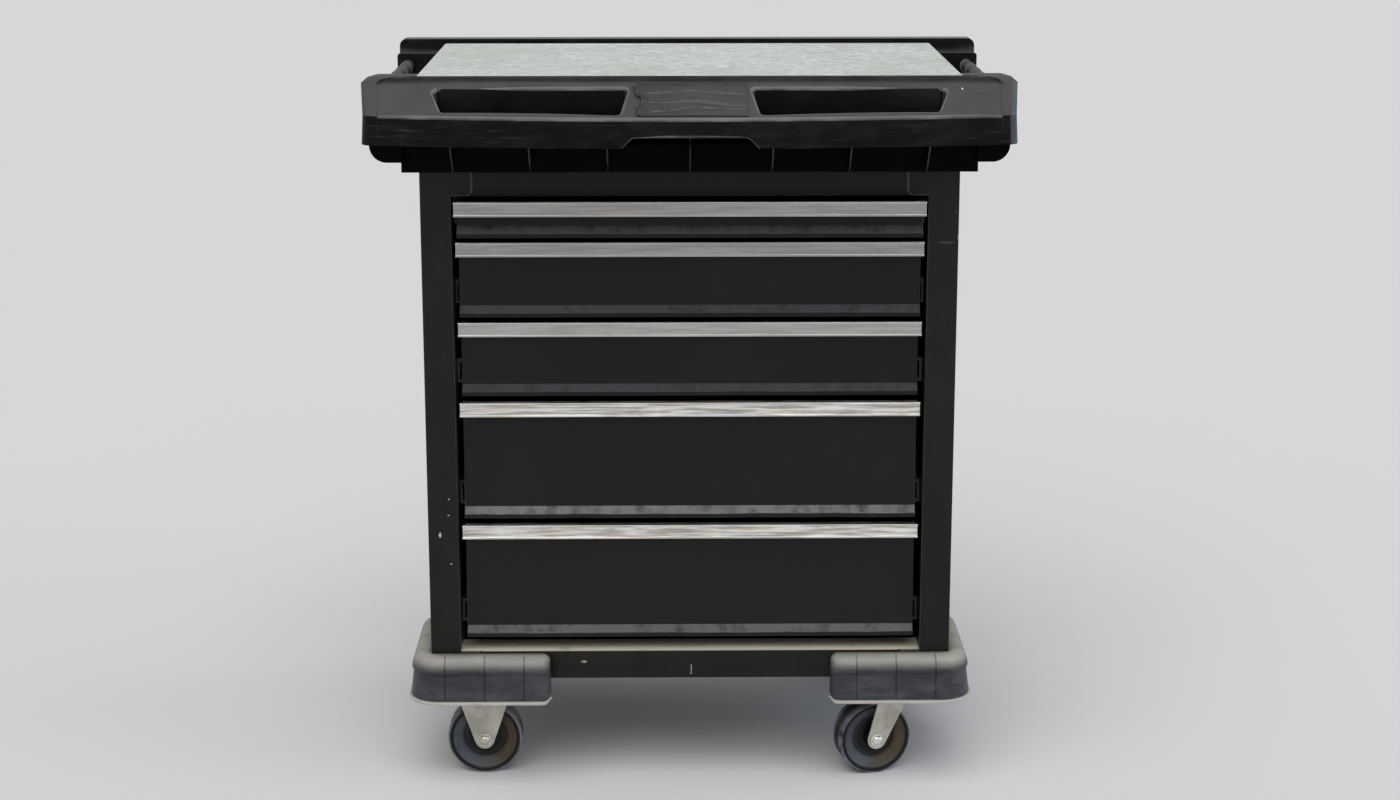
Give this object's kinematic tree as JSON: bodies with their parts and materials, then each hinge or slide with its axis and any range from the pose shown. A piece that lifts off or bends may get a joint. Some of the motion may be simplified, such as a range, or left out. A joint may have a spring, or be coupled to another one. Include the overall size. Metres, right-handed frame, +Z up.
{
  "type": "rolling tool cabinet",
  "caption": "Black steel rolling tool cabinet with drawers, a moulded worktop with parts pockets, side handles, corner bumpers and casters.",
  "frame": {"origin": "on the floor, below the middle of the cabinet's overall length and depth", "axes": "+X to the right along the front, +Y from the drawer fronts to the back, +Z up"},
  "size_m": [0.834, 0.547, 0.955],
  "materials": {
    "body_paint": "semi-gloss black enamel, chipped and dusty",
    "drawer_paint": "semi-gloss black enamel",
    "pull_metal": "satin extrusion with bright beads",
    "slide_steel": "zinc plated",
    "top_moulding": "lightly textured dark grey",
    "top_sheet": "worn satin",
    "tape": "wrinkled gloss black",
    "grip_rubber": "matte",
    "handle_steel": "satin",
    "bumper_plastic": "scuffed and dusty",
    "caster_zinc": "zinc plated",
    "wheel_plastic": "worn",
    "bolt_steel": "zinc plated"
  },
  "bodies": {
    "cabinet": {"back_panel": "body_paint", "bottom_rail": "body_paint", "caster_bolts": "bolt_steel", "drawer_1_left_fixed_slide": "slide_steel", "drawer_1_right_fixed_slide": "slide_steel", "fixed_slides": "slide_steel", "floor_pan": "body_paint", "front_left_bumper": "bumper_plastic", "front_left_fork": "caster_zinc", "front_right_bumper": "bumper_plastic", "left_axle_bolts": "bolt_steel", "left_handle_bar": "handle_steel", "left_handle_grip": "grip_rubber", "left_side_panel": "body_paint", "rear_left_bumper": "bumper_plastic", "rear_left_fork": "caster_zinc", "rear_right_bumper": "bumper_plastic", "rear_uprights": "body_paint", "right_handle_bar": "handle_steel", "right_handle_grip": "grip_rubber", "right_side_panel": "body_paint", "swivel_plates": "caster_zinc", "tape_patch": "tape", "top_panel": "body_paint", "top_rail": "body_paint", "worktop_moulding": "top_moulding", "worktop_plate": "top_sheet"},
    "drawer_1": {"drawer_1_box": "drawer_paint", "drawer_1_front": "drawer_paint", "drawer_1_pull": "pull_metal", "drawer_1_runners": "slide_steel"},
    "slides_1": {"drawer_1_middle_slides": "slide_steel"},
    "drawer_2": {"drawer_2_box": "drawer_paint", "drawer_2_front": "drawer_paint", "drawer_2_pull": "pull_metal", "drawer_2_runners": "slide_steel"},
    "slides_2": {"drawer_2_middle_slides": "slide_steel"},
    "drawer_3": {"drawer_3_box": "drawer_paint", "drawer_3_front": "drawer_paint", "drawer_3_pull": "pull_metal", "drawer_3_runners": "slide_steel"},
    "slides_3": {"drawer_3_middle_slides": "slide_steel"},
    "drawer_4": {"drawer_4_box": "drawer_paint", "drawer_4_front": "drawer_paint", "drawer_4_pull": "pull_metal", "drawer_4_runners": "slide_steel"},
    "slides_4": {"drawer_4_middle_slides": "slide_steel"},
    "drawer_5": {"drawer_5_box": "drawer_paint", "drawer_5_front": "drawer_paint", "drawer_5_pull": "pull_metal", "drawer_5_runners": "slide_steel"},
    "slides_5": {"drawer_5_middle_slides": "slide_steel"},
    "front_left_roller": {"front_left_wheel": "wheel_plastic"},
    "front_right_swivel": {"front_right_fork": "caster_zinc", "front_right_axle_bolt": "bolt_steel"},
    "front_right_roller": {"front_right_wheel": "wheel_plastic"},
    "rear_left_roller": {"rear_left_wheel": "wheel_plastic"},
    "rear_right_swivel": {"rear_right_fork": "caster_zinc", "rear_right_axle_bolt": "bolt_steel"},
    "rear_right_roller": {"rear_right_wheel": "wheel_plastic"}
  },
  "joints": [
    {"name": "drawer_1_slide", "type": "slide", "parent": "cabinet", "child": "drawer_1", "axis": [0, -1, 0], "range_m": [-0.028, 0.322]},
    {"name": "middle_slides_1", "type": "slide", "parent": "cabinet", "child": "slides_1", "axis": [0, -1, 0], "range_m": [-0.014, 0.161]},
    {"name": "drawer_2_slide", "type": "slide", "parent": "cabinet", "child": "drawer_2", "axis": [0, -1, 0], "range_m": [-0.01, 0.34]},
    {"name": "middle_slides_2", "type": "slide", "parent": "cabinet", "child": "slides_2", "axis": [0, -1, 0], "range_m": [-0.005, 0.17]},
    {"name": "drawer_3_slide", "type": "slide", "parent": "cabinet", "child": "drawer_3", "axis": [0, -1, 0], "range_m": [0, 0.35]},
    {"name": "middle_slides_3", "type": "slide", "parent": "cabinet", "child": "slides_3", "axis": [0, -1, 0], "range_m": [0, 0.175]},
    {"name": "drawer_4_slide", "type": "slide", "parent": "cabinet", "child": "drawer_4", "axis": [0, -1, 0], "range_m": [0, 0.35]},
    {"name": "middle_slides_4", "type": "slide", "parent": "cabinet", "child": "slides_4", "axis": [0, -1, 0], "range_m": [0, 0.175]},
    {"name": "drawer_5_slide", "type": "slide", "parent": "cabinet", "child": "drawer_5", "axis": [0, -1, 0], "range_m": [0, 0.35]},
    {"name": "middle_slides_5", "type": "slide", "parent": "cabinet", "child": "slides_5", "axis": [0, -1, 0], "range_m": [0, 0.175]},
    {"name": "front_left_roll", "type": "hinge", "parent": "cabinet", "child": "front_left_roller", "pos_m": [-0.278, -0.1455, 0.05], "axis": [0, 1, 0], "continuous": true},
    {"name": "front_right_turn", "type": "hinge", "parent": "cabinet", "child": "front_right_swivel", "pos_m": [0.278, -0.1455, 0.135], "axis": [0, 0, 1], "continuous": true},
    {"name": "front_right_roll", "type": "hinge", "parent": "front_right_swivel", "child": "front_right_roller", "pos_m": [0.24612, -0.15404, 0.05], "axis": [-0.2588, 0.9659, 0], "continuous": true},
    {"name": "rear_left_roll", "type": "hinge", "parent": "cabinet", "child": "rear_left_roller", "pos_m": [-0.278, 0.1985, 0.05], "axis": [0, 1, 0], "continuous": true},
    {"name": "rear_right_turn", "type": "hinge", "parent": "cabinet", "child": "rear_right_swivel", "pos_m": [0.278, 0.1985, 0.135], "axis": [0, 0, 1], "continuous": true},
    {"name": "rear_right_roll", "type": "hinge", "parent": "rear_right_swivel", "child": "rear_right_roller", "pos_m": [0.24541, 0.20366, 0.05], "axis": [0.1564, 0.9877, 0], "continuous": true}
  ],
  "couplings": [
    {"joint": "middle_slides_1", "follows": "drawer_1_slide", "ratio": 0.5},
    {"joint": "middle_slides_2", "follows": "drawer_2_slide", "ratio": 0.5},
    {"joint": "middle_slides_3", "follows": "drawer_3_slide", "ratio": 0.5},
    {"joint": "middle_slides_4", "follows": "drawer_4_slide", "ratio": 0.5},
    {"joint": "middle_slides_5", "follows": "drawer_5_slide", "ratio": 0.5}
  ]
}
